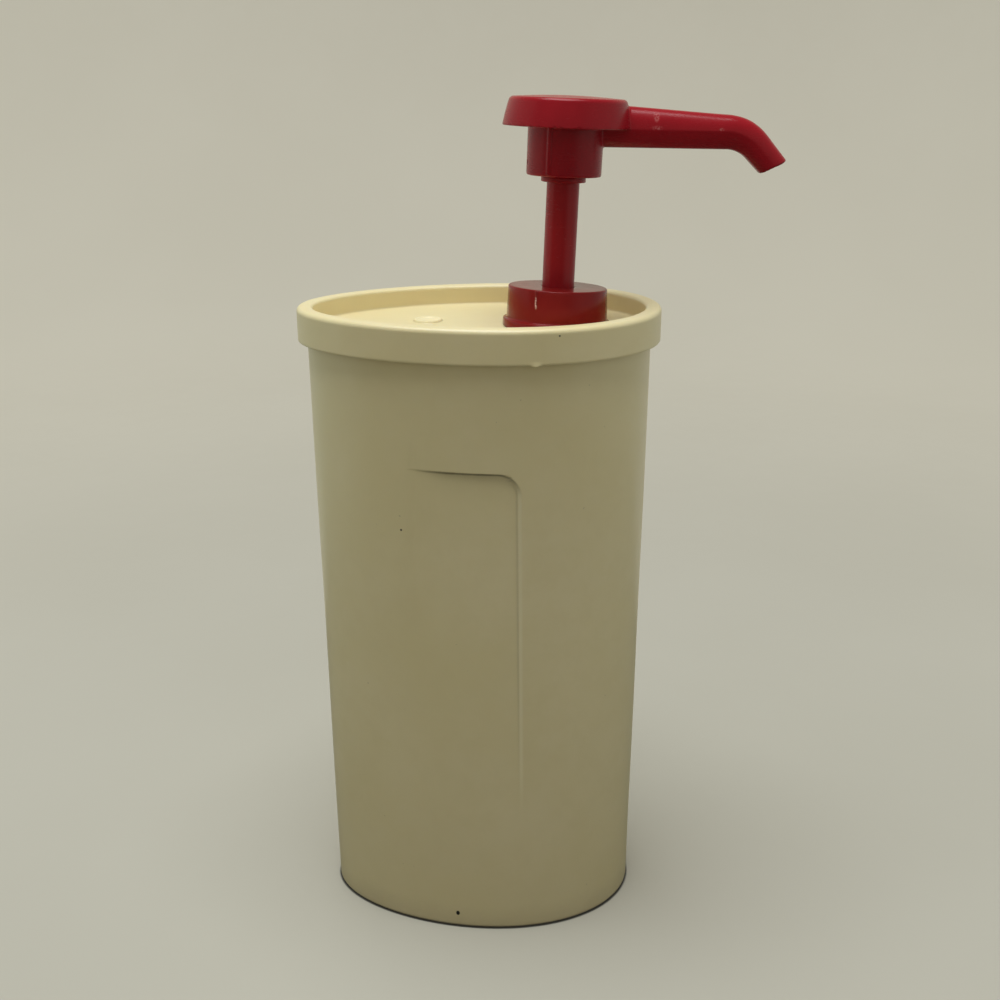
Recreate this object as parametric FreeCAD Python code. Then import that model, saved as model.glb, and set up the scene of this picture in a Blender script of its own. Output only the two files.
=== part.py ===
"""Ketchup pump dispenser: an oval, egg-sectioned plastic vessel with a push-on
lid, and a press-down pump standing on the wide end of the lid.

Millimetres. +Z is up, the origin is the centre of the foot on the resting
surface, +X points along the lid to the pump and its spout, -Y is the front
face with the recessed label panel.

Each moulded piece is one solid in its own node:
  container, lid, pump_collar, pump_rod, pump_head
"""
import FreeCAD, Part
import math
import os

V = FreeCAD.Vector

# ---------------------------------------------------------------- dimensions
EGG = 0.12                 # how much fuller the section is at its +X end

# vessel: uniform draft, narrower at the foot
FOOT_A, FOOT_B = 78.2, 51.6        # half length and half width at the foot
FOOT_SHIFT = 0.6                   # foot outline sits this far towards +X
TOP_A, TOP_B = 80.6, 54.0          # half length and half width under the lid
SKIRT_Z = 296.2                    # lower edge of the lid's skirt
FOOT_ROUND = 1.8                   # rounding under the wall

# lid
LID_A, LID_B = 85.0, 56.7          # half length and half width outside
LID_TOP = 312.0                    # top of the raised rim
RIM_W = 7.5                        # width of the raised rim
FLOOR_DROP = 9.3                   # recessed floor below the rim
FLOOR_T = 2.7                      # plate thickness of the floor
SKIRT_T = 2.6                      # wall of the skirt
RIM_ROUND_OUT, RIM_ROUND_IN = 2.2, 1.4
SKIRT_ROUND = 0.5
GATE_X, GATE_Y, GATE_R, GATE_H = -24.4, 9.5, 6.6, 0.45   # moulding mark on the floor

FLOOR_Z = LID_TOP - FLOOR_DROP
UNDER_Z = FLOOR_Z - FLOOR_T        # underside of the lid, top of the vessel

# label panel: a shallow recess in the front wall, with a level top ledge and
# an upright right-hand step; it runs out into the wall to the left and below
PANEL_TOP = 246.2
PANEL_X_TOP, PANEL_X_LOW = 17.5, 19.75    # right edge at the ledge and at the foot end
PANEL_LOW = 48.0
PANEL_LEFT = -34.0
PANEL_CORNER = 10.0
PANEL_DEPTH = 1.5
PANEL_PROUD = 0.12                 # how far outside the wall the cut ends below

# stem axis: where it meets the lid's floor, and its lean
PUMP_X, PUMP_Y = 36.12, 0.4
LEAN_X, LEAN_Y = 2.1, 1.7          # degrees towards +X and towards +Y
STROKE = 46.5

# the collar sits a little more askew than the stem that runs in it
COLLAR_X, COLLAR_Y = 35.4, 0.0
COLLAR_LEAN_X, COLLAR_LEAN_Y = 2.7, 3.4
COLLAR_FLANGE_R, COLLAR_FLANGE_T = 25.2, 2.5
COLLAR_LOW_R, COLLAR_TOP_R, COLLAR_H = 23.5, 23.0, 17.6
COLLAR_LOW_X, COLLAR_TOP_X = 0.75, 0.45   # centre offsets from the collar's axis
COLLAR_ROUND = 0.7
ROD_R, ROD_CLEAR = 7.45, 0.06
ROD_FOOT = -10.0                   # lower end of the rod below the floor
WELL_R = 8.3                       # room for the rod in the lid and vessel
STOP_R, STOP_LOW, STOP_HIGH = 10.2, 64.8, 67.2
SPIGOT_R, SPIGOT_CLEAR, SPIGOT_TOP = 5.6, 0.06, 90.0

HUB_R_LOW, HUB_R_TOP, HUB_LOW = 17.0, 17.1, 67.5
RIB_AT, RIB_W, RIB_OUT = -117.5, 1.9, 0.55   # upright rib on the hub's front
BUTTON_LOW, BUTTON_R_LOW = 88.9, 28.5
BUTTON_EDGE, BUTTON_R_TOP = 101.2, 26.15
BUTTON_SHIFT = 0.47                # the top's centre lies this far to the spout
BUTTON_ROUND, BUTTON_CROWN = 1.5, 1.0

ARM_H, ARM_DROOP = 90.18, 0.8      # arm's centre line at the hub axis, degrees it droops
ARM_START, ARM_BEND = 6.0, 71.7    # where the straight arm begins and bends
ARM_HALF_H0, ARM_HALF_H1 = 9.73, 7.37      # half height at the hub axis and at the bend
ARM_HALF_W0, ARM_HALF_W1 = 7.4, 6.8
ARM_PART_DROP0, ARM_PART_DROP1 = 1.9, -0.35   # parting line below the centre line
ROOF_DRAFT, TROUGH_DRAFT = 0.15, 0.17      # how much the section narrows away from the parting line
BEND_R, BEND_DEG = 21.25, 44.4
TIP_RUN = 11.4
TIP_HALF = 6.28                    # half width of the nozzle
TIP_CUT_DEG = 15.5                 # slant of the mouth against the nozzle
BORE_R = 4.2                       # nozzle channel


# ------------------------------------------------------------------- helpers
def egg_point(a, b, t, z, ox=0.0):
    return V(ox + a * math.cos(t), b * math.sin(t) * (1 + EGG * math.cos(t)), z)


def egg_wire(a, b, z, ox=0.0, n=40):
    pts = [egg_point(a, b, 2 * math.pi * i / n, z, ox) for i in range(n)]
    c = Part.BSplineCurve()
    c.interpolate(Points=pts, PeriodicFlag=True)
    return Part.Wire([c.toShape()])


def egg_prism(a, b, z0, z1):
    return Part.Face(egg_wire(a, b, z0)).extrude(V(0, 0, z1 - z0))


def one_solid(shape):
    s = shape.Solids
    if len(s) != 1:
        s = sorted(s, key=lambda q: -q.Volume)
    out = s[0]
    return out


def quarter(r, steps=4):
    """(inset, rise) pairs round a quarter circle, from the flat to the wall."""
    out = []
    for i in range(steps + 1):
        t = math.pi / 2 * i / steps
        out.append((r * (1 - math.sin(t)), r * (1 - math.cos(t))))
    return out


def wall_y(x, z):
    """Front (-Y) face of the vessel at x and height z."""
    q = z / SKIRT_Z
    a = FOOT_A + (TOP_A - FOOT_A) * q
    b = FOOT_B + (TOP_B - FOOT_B) * q
    ox = FOOT_SHIFT * (1 - q)
    c = (x - ox) / a
    return -b * math.sqrt(1 - c * c) * (1 + EGG * c)


# pump frame: h runs up the axis, u to the spout, v to the back
def leaning(x, y, lean_x, lean_y):
    axis = V(math.tan(math.radians(lean_x)), math.tan(math.radians(lean_y)), 1.0)
    axis.normalize()
    u = V(1, 0, 0) - axis * axis.x
    u.normalize()
    v = axis.cross(u)
    return FreeCAD.Placement(FreeCAD.Matrix(
        u.x, v.x, axis.x, x,
        u.y, v.y, axis.y, y,
        u.z, v.z, axis.z, FLOOR_Z,
        0, 0, 0, 1))


PUMP_PLACE = leaning(PUMP_X, PUMP_Y, LEAN_X, LEAN_Y)
COLLAR_PLACE = leaning(COLLAR_X, COLLAR_Y, COLLAR_LEAN_X, COLLAR_LEAN_Y)


def on_pump(shape, place=PUMP_PLACE):
    """Carry a shape from the pump's own frame (u, v, h) to the row frame."""
    s = shape.copy()
    s.Placement = place.multiply(s.Placement)
    return s


def turned(profile):
    """Solid of revolution about the pump axis from (radius, height) corners."""
    pts = [V(r, 0, h) for r, h in profile]
    w = Part.makePolygon(pts + [pts[0]])
    return Part.Face(w).revolve(V(0, 0, 0), V(0, 0, 1), 360)


def cyl(r, h0, h1, x=0.0, y=0.0):
    return Part.makeCylinder(r, h1 - h0, V(x, y, h0))


# ----------------------------------------------------------------- container
def make_container():
    def wall_wire(z, inset=0.0):
        k = z / SKIRT_Z
        return egg_wire(FOOT_A + (TOP_A - FOOT_A) * k - inset,
                        FOOT_B + (TOP_B - FOOT_B) * k - inset, z, FOOT_SHIFT * (1 - k))
    wires = [wall_wire(z, i) for i, z in quarter(FOOT_ROUND)] + [wall_wire(UNDER_Z)]
    body = Part.makeLoft(wires, True, True)

    # the panel's cutter: its inner face follows the wall at the ledge less the
    # panel's depth, and leaves the wall below and to the left
    def depth(x):
        s = (x - PANEL_LEFT) / (PANEL_X_TOP - PANEL_LEFT)
        return -0.05 + (PANEL_DEPTH + 0.05) * math.sin(min(1.0, max(0.0, s)) * math.pi / 2) ** 1.15

    xs = [PANEL_LEFT - 3 + i * (PANEL_X_LOW + 5 - PANEL_LEFT + 3) / 12 for i in range(13)]

    def cutter_face_wire(z, d_of_x):
        pts = [V(x, wall_y(x, z) + d_of_x(x), z) for x in xs]
        c = Part.BSplineCurve()
        c.interpolate(Points=pts)
        out0, out1 = V(xs[-1], -70, z), V(xs[0], -70, z)
        return Part.Wire([c.toShape(), Part.makeLine(pts[-1], out0),
                          Part.makeLine(out0, out1), Part.makeLine(out1, pts[0])])

    top = cutter_face_wire(PANEL_TOP + 4, lambda x: depth(x))
    low = cutter_face_wire(PANEL_LOW, lambda x: -PANEL_PROUD)
    slab = Part.makeLoft([low, top], True, True)

    # outline of the panel, opening outwards at 45 degrees
    def outline(y, grow):
        xt, xl = PANEL_X_TOP + grow, PANEL_X_LOW + grow
        zt, zl = PANEL_TOP + grow, PANEL_LOW - 5
        r = PANEL_CORNER
        m = (xl - xt) / (PANEL_TOP - PANEL_LOW)
        c = V(xt - r, y, zt - r)
        p0 = V(xt, y, zt - r)
        pm = V(xt - r + r * math.sin(math.pi / 4), y, zt - r + r * math.cos(math.pi / 4))
        p1 = V(xt - r, y, zt)
        left = xs[0] + 1
        a, b, d = V(left, y, zt), V(left, y, zl), V(xt + m * (zt - r - zl), y, zl)
        return Part.Wire([Part.makeLine(p1, a), Part.makeLine(a, b), Part.makeLine(b, d),
                          Part.makeLine(d, p0), Part.Arc(p0, pm, p1).toShape()])

    y_ref = wall_y(PANEL_X_TOP, PANEL_TOP)
    tool = Part.makeLoft([outline(y_ref + 6, -6), outline(y_ref - 3, 3)], True, True)
    cutter = slab.common(tool)
    body = body.cut(cutter)

    # room for the rod to travel
    well = on_pump(cyl(WELL_R, ROD_FOOT - STROKE - 2.5, 30))
    return one_solid(body.cut(well))


# ----------------------------------------------------------------------- lid
def make_lid():
    def wire(inset, z):
        return egg_wire(LID_A - inset, LID_B - inset, z)
    outer = Part.makeLoft(
        [wire(i, SKIRT_Z + z) for i, z in quarter(SKIRT_ROUND, 2)]
        + [wire(i, LID_TOP - z) for i, z in reversed(quarter(RIM_ROUND_OUT))], True, True)
    dish = Part.makeLoft(
        [wire(RIM_W, FLOOR_Z)]
        + [wire(RIM_W - i, LID_TOP - z) for i, z in reversed(quarter(RIM_ROUND_IN))]
        + [wire(RIM_W - RIM_ROUND_IN - 1.0, LID_TOP + 2)], True, True)
    under = egg_prism(LID_A - SKIRT_T, LID_B - SKIRT_T, SKIRT_Z - 5, UNDER_Z)
    lid = outer.cut(dish)
    lid = lid.cut(under)
    gate = turned([(0, -0.5), (GATE_R, -0.5), (GATE_R, GATE_H - 0.15), (GATE_R - 0.3, GATE_H),
                   (GATE_R - 1.3, GATE_H), (GATE_R - 1.7, 0.2), (0, 0.2)])
    gate.translate(V(GATE_X, GATE_Y, FLOOR_Z))
    lid = lid.fuse(gate)
    lid = lid.cut(on_pump(cyl(WELL_R, -12, 12)))
    return one_solid(lid)


# -------------------------------------------------------------------- collar
def make_collar():
    # leaning cone of the collar with its flange, cut level with the floor
    # below and square to the collar's axis on top
    def ring(h, r, x):
        e = Part.makeCircle(r, V(x, 0, h), V(0, 0, 1))
        return Part.Wire([e])
    slope_r = (COLLAR_TOP_R - COLLAR_LOW_R) / COLLAR_H
    slope_x = (COLLAR_TOP_X - COLLAR_LOW_X) / COLLAR_H
    lo = -3.0
    cone = Part.makeLoft([ring(lo, COLLAR_LOW_R + slope_r * lo, COLLAR_LOW_X + slope_x * lo)]
                         + [ring(COLLAR_H - z, COLLAR_TOP_R - i, COLLAR_TOP_X)
                            for i, z in reversed(quarter(COLLAR_ROUND, 3))], True, True)
    # flange with a sloping shoulder up to the wall
    flange = turned([(0, lo), (COLLAR_FLANGE_R, lo),
                     (COLLAR_FLANGE_R, COLLAR_FLANGE_T - 0.5),
                     (COLLAR_FLANGE_R - 0.5, COLLAR_FLANGE_T),
                     (COLLAR_LOW_R - 1.5, COLLAR_FLANGE_T + 1.3), (0, COLLAR_FLANGE_T + 1.3)])
    flange.translate(V(COLLAR_LOW_X, 0, 0))
    body = on_pump(cone.fuse(flange), COLLAR_PLACE)
    below = Part.makeBox(120, 120, 20, V(COLLAR_X - 60, -60, FLOOR_Z - 20))
    body = body.cut(below)
    body = body.cut(on_pump(cyl(ROD_R + ROD_CLEAR, -30, 40)))
    return one_solid(body)


# ----------------------------------------------------------------------- rod
def make_rod():
    prof = [(0, ROD_FOOT), (ROD_R - 0.6, ROD_FOOT), (ROD_R, ROD_FOOT + 0.6), (ROD_R, STOP_LOW),
            (STOP_R - 0.25, STOP_LOW), (STOP_R, STOP_LOW + 0.25), (STOP_R, STOP_HIGH),
            (SPIGOT_R, STOP_HIGH), (SPIGOT_R, SPIGOT_TOP - 0.6), (SPIGOT_R - 0.6, SPIGOT_TOP),
            (0, SPIGOT_TOP)]
    return one_solid(on_pump(turned(prof)))


# ---------------------------------------------------------------------- head
def arm_section(centre, direction, half_h, half_w, drop):
    """Closed section across the arm: a rounded roof above the parting line, a
    drafted trough with rounded corners below it. centre is (u, h); direction is
    the run's angle below level, in degrees."""
    t = math.radians(direction)
    up = V(math.sin(t), 0, math.cos(t))
    mid = V(centre[0], 0, centre[1]) - up * drop
    roof_h, low_h = half_h + drop, half_h - drop
    n = 8
    roof = []
    for i in range(n + 1):
        a = math.pi * i / n
        c, s = math.cos(a), math.sin(a)
        k = (abs(c) ** 2.4 + abs(s) ** 2.4) ** (-1 / 2.4)
        w = half_w * k * c * (1 - ROOF_DRAFT * abs(k * s))
        roof.append(mid + V(0, 1, 0) * w + up * (roof_h * k * s))
    trough = []
    for i in range(n + 1):
        a = math.pi + math.pi * i / n
        c, s = math.cos(a), math.sin(a)
        k = (abs(c) ** 3.0 + abs(s) ** 3.0) ** (-1 / 3.0)
        w = half_w * k * c * (1 - TROUGH_DRAFT * abs(k * s))
        trough.append(mid + V(0, 1, 0) * w + up * (low_h * k * s))
    trough[0], trough[-1] = roof[-1], roof[0]
    c0, c1 = Part.BSplineCurve(), Part.BSplineCurve()
    c0.interpolate(Points=roof)
    c1.interpolate(Points=trough)
    return Part.Wire([c0.toShape(), c1.toShape()])


def make_arm():
    # sections: straight run, bend, nozzle
    def at(u):
        s = u / ARM_BEND
        return (ARM_HALF_H0 + (ARM_HALF_H1 - ARM_HALF_H0) * s,
                ARM_HALF_W0 + (ARM_HALF_W1 - ARM_HALF_W0) * s,
                ARM_PART_DROP0 + (ARM_PART_DROP1 - ARM_PART_DROP0) * s)
    secs = []
    for i in range(6):
        u = ARM_START + (ARM_BEND - ARM_START) * i / 5
        hh1, hw1, d1 = at(u)
        secs.append(arm_section((u, ARM_H), 0, hh1, hw1, d1))
    total = math.radians(BEND_DEG) * BEND_R + TIP_RUN + 6
    steps = 5
    for i in range(1, steps + 1):
        g = BEND_DEG * i / steps
        gr = math.radians(g)
        s = gr * BEND_R / total
        c = (ARM_BEND + BEND_R * math.sin(gr), ARM_H - BEND_R * (1 - math.cos(gr)))
        secs.append(arm_section(c, g, hh1 + (TIP_HALF - hh1) * s, hw1 + (TIP_HALF - hw1) * s, d1 * (1 - s)))
    gr = math.radians(BEND_DEG)
    end = (ARM_BEND + BEND_R * math.sin(gr), ARM_H - BEND_R * (1 - math.cos(gr)))
    for run_on in (0.33, 0.67, 1.0):
        far = (TIP_RUN + 6) * run_on
        c = (end[0] + far * math.cos(gr), end[1] - far * math.sin(gr))
        s = (gr * BEND_R + far) / total
        secs.append(arm_section(c, BEND_DEG, hh1 + (TIP_HALF - hh1) * s, hw1 + (TIP_HALF - hw1) * s, d1 * (1 - s)))
    arm = Part.makeLoft(secs, True, False)
    # slanted mouth
    tip = V(end[0] + TIP_RUN * math.cos(gr), 0, end[1] - TIP_RUN * math.sin(gr))
    ang = gr + math.radians(TIP_CUT_DEG)
    n = V(math.cos(ang), 0, -math.sin(ang))
    block = Part.makeBox(60, 60, 30, V(-30, -30, 0))
    block.Placement = FreeCAD.Placement(tip, FreeCAD.Rotation(V(0, 0, 1), n))
    arm = arm.cut(block)
    # nozzle channel: up the nozzle, round the bend, a short way into the arm
    ch1 = Part.makeCylinder(BORE_R, TIP_RUN + 12, V(end[0], 0, end[1]), V(math.cos(gr), 0, -math.sin(gr)))
    ring = Part.Face(Part.Wire([Part.makeCircle(BORE_R, V(ARM_BEND, 0, ARM_H), V(1, 0, 0))]))
    ch2 = ring.revolve(V(ARM_BEND, 0, ARM_H - BEND_R), V(0, 1, 0), BEND_DEG)
    ch3 = Part.makeCylinder(BORE_R, 12, V(ARM_BEND - 12, 0, ARM_H), V(1, 0, 0))
    # the whole arm droops a little from the hub
    for part in (arm, ch1, ch2, ch3):
        part.rotate(V(0, 0, ARM_H), V(0, 1, 0), ARM_DROOP)
    return arm, [ch3, ch2, ch1]


def make_head():
    # button: drafted side, steeper at the spout, rounded edge, crowned top
    def ring(r, h):
        k = (h - BUTTON_LOW) / (BUTTON_EDGE - BUTTON_LOW)
        return Part.Wire([Part.makeCircle(r, V(BUTTON_SHIFT * k, 0, h), V(0, 0, 1))])
    rings = [ring(BUTTON_R_LOW - 0.3, BUTTON_LOW), ring(BUTTON_R_LOW, BUTTON_LOW + 0.3)]
    rings += [ring(BUTTON_R_TOP - i, BUTTON_EDGE - z) for i, z in reversed(quarter(BUTTON_ROUND, 4))]
    flat = BUTTON_R_TOP - BUTTON_ROUND
    rings += [ring(flat * q, BUTTON_EDGE + BUTTON_CROWN * (1 - q * q)) for q in (0.8, 0.6, 0.4, 0.2)]
    button = Part.makeLoft(rings, True, True)
    hub = turned([(0, HUB_LOW), (HUB_R_LOW - 0.4, HUB_LOW), (HUB_R_LOW, HUB_LOW + 0.4),
                  (HUB_R_TOP, BUTTON_LOW + 2), (0, BUTTON_LOW + 2)])
    rib = Part.makeBox(RIB_OUT + 3, RIB_W, BUTTON_LOW + 1 - HUB_LOW - 0.8,
                       V(HUB_R_LOW - 3 + 0.1, -RIB_W / 2, HUB_LOW + 0.8))
    rib.rotate(V(0, 0, 0), V(0, 0, 1), RIB_AT)
    arm, channel = make_arm()
    head = button.fuse(hub).fuse(rib).fuse(arm)
    for c in channel:
        head = head.cut(c)
    head = head.cut(cyl(SPIGOT_R + SPIGOT_CLEAR, HUB_LOW - 5, SPIGOT_TOP + 1.0))
    head = head.removeSplitter()
    return one_solid(on_pump(head))


# ---------------------------------------------------------------------- build
os.makedirs("parts", exist_ok=True)
NODES = {
    "container": make_container,
    "lid": make_lid,
    "pump_collar": make_collar,
    "pump_rod": make_rod,
    "pump_head": make_head,
}
for name, maker in NODES.items():
    shape = maker()
    shape.exportStep("parts/%s.step" % name)
    bb = shape.BoundBox
    print("%-12s valid=%s solids=%d volume=%.1f cm3 x[%.2f %.2f] y[%.2f %.2f] z[%.2f %.2f]" % (
        name, shape.isValid(), len(shape.Solids), shape.Volume / 1000.0,
        bb.XMin, bb.XMax, bb.YMin, bb.YMax, bb.ZMin, bb.ZMax))
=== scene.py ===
"""Looks of the ketchup pump dispenser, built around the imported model.

Metres, +Z up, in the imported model's own frame. Shapes are worked out in
millimetres and scaled when each mesh is made.
"""
import bpy
import math
import numpy as np
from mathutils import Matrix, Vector
from mathutils.geometry import delaunay_2d_cdt


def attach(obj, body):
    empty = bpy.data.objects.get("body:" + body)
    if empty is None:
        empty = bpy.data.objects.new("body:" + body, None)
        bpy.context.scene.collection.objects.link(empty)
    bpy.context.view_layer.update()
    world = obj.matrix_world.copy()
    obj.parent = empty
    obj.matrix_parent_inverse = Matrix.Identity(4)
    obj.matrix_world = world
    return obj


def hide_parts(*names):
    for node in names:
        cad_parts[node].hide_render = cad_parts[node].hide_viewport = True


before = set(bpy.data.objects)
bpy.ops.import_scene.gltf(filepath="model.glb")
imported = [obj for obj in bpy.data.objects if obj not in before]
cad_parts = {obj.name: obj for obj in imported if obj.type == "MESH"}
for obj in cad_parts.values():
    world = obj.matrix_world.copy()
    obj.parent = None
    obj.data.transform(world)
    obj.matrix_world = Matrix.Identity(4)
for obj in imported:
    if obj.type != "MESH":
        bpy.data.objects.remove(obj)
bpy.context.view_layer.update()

MM = 0.001
RNG = np.random.default_rng(7)

# ------------------------------------------------------------- the object's sizes
EGG = 0.12
FOOT_A, FOOT_B, FOOT_SHIFT = 78.2, 51.6, 0.6
TOP_A, TOP_B, SKIRT_Z = 80.6, 54.0, 296.2
FOOT_ROUND = 1.8
LID_A, LID_B, LID_TOP = 85.0, 56.7, 312.0
RIM_W, SKIRT_T = 7.5, 2.6
FLOOR_Z, UNDER_Z = 302.7, 300.0
RIM_ROUND_OUT, RIM_ROUND_IN = 2.2, 1.5
GATE_X, GATE_Y, GATE_R, GATE_H = -24.4, 9.5, 6.6, 0.45
PANEL_TOP, PANEL_X_TOP, PANEL_X_LOW, PANEL_LOW = 246.2, 17.5, 19.75, 48.0
PANEL_LEFT, PANEL_CORNER, PANEL_DEPTH, PANEL_PROUD = -34.0, 10.0, 1.5, 0.12


def leaning(x, y, lean_x, lean_y):
    """Origin on the lid's floor and the three directions (to the spout, to the back, up the axis)."""
    axis = np.array([math.tan(math.radians(lean_x)), math.tan(math.radians(lean_y)), 1.0])
    axis /= np.linalg.norm(axis)
    u = np.array([1.0, 0, 0]) - axis * axis[0]
    u /= np.linalg.norm(u)
    return np.array([x, y, FLOOR_Z]), np.stack([u, np.cross(axis, u), axis])


PUMP0, TURN = leaning(36.12, 0.4, 2.1, 1.7)
AXIS = TURN[2]
COLLAR0, COLLAR_TURN = leaning(35.4, 0.0, 2.7, 3.4)
STROKE, WELL_R = 46.5, 8.3
COLLAR_FLANGE_R, COLLAR_FLANGE_T = 25.2, 2.5
COLLAR_LOW_R, COLLAR_TOP_R, COLLAR_H = 23.5, 23.0, 17.6
COLLAR_LOW_X, COLLAR_TOP_X = 0.75, 0.45
ROD_R, ROD_CLEAR, ROD_FOOT = 7.45, 0.06, -10.0
STOP_R, STOP_LOW, STOP_HIGH = 10.2, 64.8, 67.2
SPIGOT_R, SPIGOT_CLEAR, SPIGOT_TOP = 5.6, 0.06, 90.0


def on_pump(p):
    """From the pump's frame (to the spout, to the back, up the axis) to the row frame."""
    return PUMP0 + np.asarray(p, float) @ TURN


def on_collar(p):
    return COLLAR0 + np.asarray(p, float) @ COLLAR_TURN


# ------------------------------------------------------------------ mesh helpers
def piece(name, verts, faces, body, node, mat, sharp=40.0, marks=()):
    me = bpy.data.meshes.new(name)
    me.from_pydata((np.asarray(verts, float) * MM).tolist(), [], faces)
    me.update()
    for key, values in marks:
        me.attributes.new(key, "FLOAT", "POINT").data.foreach_set("value", np.asarray(values, np.float32))
    me.shade_smooth()
    me.set_sharp_from_angle(angle=math.radians(sharp))
    me.materials.append(mat)
    ob = bpy.data.objects.new(name, me)
    bpy.context.scene.collection.objects.link(ob)
    if body:
        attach(ob, body)
        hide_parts(node)
    return ob


class Build:
    """Vertices and faces of one piece, gathered ring by ring."""

    def __init__(self):
        self.v, self.f, self.n = [], [], 0

    def add(self, pts):
        pts = np.asarray(pts, float)
        at = np.arange(self.n, self.n + len(pts))
        self.v.append(pts)
        self.n += len(pts)
        return at

    def strip(self, a, b):
        """Quads between two closed rings of equal count; faces out when a lies below b and both turn left."""
        k = len(a)
        j = (np.arange(k) + 1) % k
        self.f += np.stack([a, a[j], b[j], b], 1).tolist()

    def fan(self, ring, centre, up):
        k = len(ring)
        for i in range(k):
            t = [int(ring[i]), int(ring[(i + 1) % k]), int(centre)]
            self.f.append(t if up else t[::-1])

    def cap(self, rings, up, inside=(), keep=None):
        """Level triangulation of the area inside the first ring and outside the others."""
        v = np.concatenate(self.v)
        idx = np.concatenate([np.asarray(r) for r in rings] + ([np.asarray(inside)] if len(inside) else []))
        pts = [Vector((float(v[i][0]), float(v[i][1]))) for i in idx]
        edges, at = [], 0
        for r in rings:
            k = len(r)
            edges += [(at + i, at + (i + 1) % k) for i in range(k)]
            at += k
        out = delaunay_2d_cdt(pts, edges, [], 1, 1e-7)
        vs, tris, back = out[0], out[2], out[3]
        for t in tris:
            c = sum((vs[i] for i in t), Vector((0, 0))) / 3
            if keep is not None and not keep(c.x, c.y):
                continue
            tri = [int(idx[back[i][0]]) for i in t]
            a, b, d = (v[i][:2] for i in tri)
            left = (b[0] - a[0]) * (d[1] - a[1]) - (b[1] - a[1]) * (d[0] - a[0]) > 0
            self.f.append(tri if left == up else tri[::-1])

    def verts(self):
        return np.concatenate(self.v)


def quarter(r, steps):
    """(inset, rise) pairs round a quarter circle, from the flat to the wall."""
    t = np.linspace(0, math.pi / 2, steps + 1)
    return [(r * (1 - math.sin(a)), r * (1 - math.cos(a))) for a in t]


def egg(a, b, t, ox=0.0):
    return np.stack([ox + a * np.cos(t), b * np.sin(t) * (1 + EGG * np.cos(t))], -1)


def smooth(x, a, b):
    s = np.clip((x - a) / (b - a), 0, 1)
    return s * s * (3 - 2 * s)


def circle(n, r, cx=0.0, cy=0.0):
    t = 2 * math.pi * np.arange(n) / n
    return np.stack([cx + r * np.cos(t), cy + r * np.sin(t)], -1)


# --------------------------------------------------------------------- materials
class Nodes:
    """Short hand for a material's node tree."""

    def __init__(self, name):
        self.mat = bpy.data.materials.new(name)
        self.mat.use_nodes = True
        self.t = self.mat.node_tree
        self.bsdf = self.t.nodes["Principled BSDF"]
        self.coord = self.t.nodes.new("ShaderNodeTexCoord").outputs["Object"]

    def link(self, a, b):
        self.t.links.new(a, b)

    def put(self, socket, value):
        if isinstance(value, bpy.types.NodeSocket):
            self.link(value, socket)
        else:
            socket.default_value = value

    def noise(self, scale, detail=3.0, rough=0.55, stretch=None, shift=(0, 0, 0), distort=0.0):
        n = self.t.nodes.new("ShaderNodeTexNoise")
        n.inputs["Scale"].default_value = scale
        n.inputs["Detail"].default_value = detail
        n.inputs["Roughness"].default_value = rough
        n.inputs["Distortion"].default_value = distort
        m = self.t.nodes.new("ShaderNodeMapping")
        m.inputs["Location"].default_value = shift
        m.inputs["Scale"].default_value = stretch or (1, 1, 1)
        self.link(self.coord, m.inputs["Vector"])
        self.link(m.outputs["Vector"], n.inputs["Vector"])
        return n.outputs["Fac"]

    def ramp(self, value, a, b, lo=0.0, hi=1.0):
        n = self.t.nodes.new("ShaderNodeMapRange")
        n.interpolation_type = "SMOOTHSTEP"
        self.link(value, n.inputs["Value"])
        n.inputs["From Min"].default_value = a
        n.inputs["From Max"].default_value = b
        n.inputs["To Min"].default_value = lo
        n.inputs["To Max"].default_value = hi
        return n.outputs["Result"]

    def math(self, op, a, b=0.0):
        n = self.t.nodes.new("ShaderNodeMath")
        n.operation = op
        self.put(n.inputs[0], a)
        self.put(n.inputs[1], b)
        return n.outputs[0]

    def mix(self, fac, a, b):
        n = self.t.nodes.new("ShaderNodeMix")
        n.data_type = "RGBA"
        self.put(n.inputs[0], fac)
        self.put(n.inputs[6], a)
        self.put(n.inputs[7], b)
        return n.outputs[2]

    def attribute(self, name):
        n = self.t.nodes.new("ShaderNodeAttribute")
        n.attribute_name = name
        return n.outputs["Fac"]

    def axis(self, which):
        n = self.t.nodes.new("ShaderNodeSeparateXYZ")
        self.link(self.coord, n.inputs[0])
        return n.outputs[which]

    def spot(self, at_mm, r_in, r_out, stretch=(1, 1, 1), turn=(0, 0, 0)):
        """1 within r_in of a point of the object, 0 beyond r_out, in mm."""
        s = self.t.nodes.new("ShaderNodeVectorMath")
        s.operation = "SUBTRACT"
        self.link(self.coord, s.inputs[0])
        s.inputs[1].default_value = [c * MM for c in at_mm]
        m = self.t.nodes.new("ShaderNodeMapping")
        m.vector_type = "POINT"
        m.inputs["Rotation"].default_value = turn
        m.inputs["Scale"].default_value = stretch
        self.link(s.outputs[0], m.inputs["Vector"])
        d = self.t.nodes.new("ShaderNodeVectorMath")
        d.operation = "LENGTH"
        self.link(m.outputs["Vector"], d.inputs[0])
        return self.ramp(d.outputs["Value"], r_in * MM, r_out * MM, 1.0, 0.0)

    def bump(self, height, distance, strength=1.0, normal=None):
        n = self.t.nodes.new("ShaderNodeBump")
        n.inputs["Strength"].default_value = strength
        n.inputs["Distance"].default_value = distance
        self.link(height, n.inputs["Height"])
        if normal is not None:
            self.link(normal, n.inputs["Normal"])
        return n.outputs["Normal"]


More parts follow.
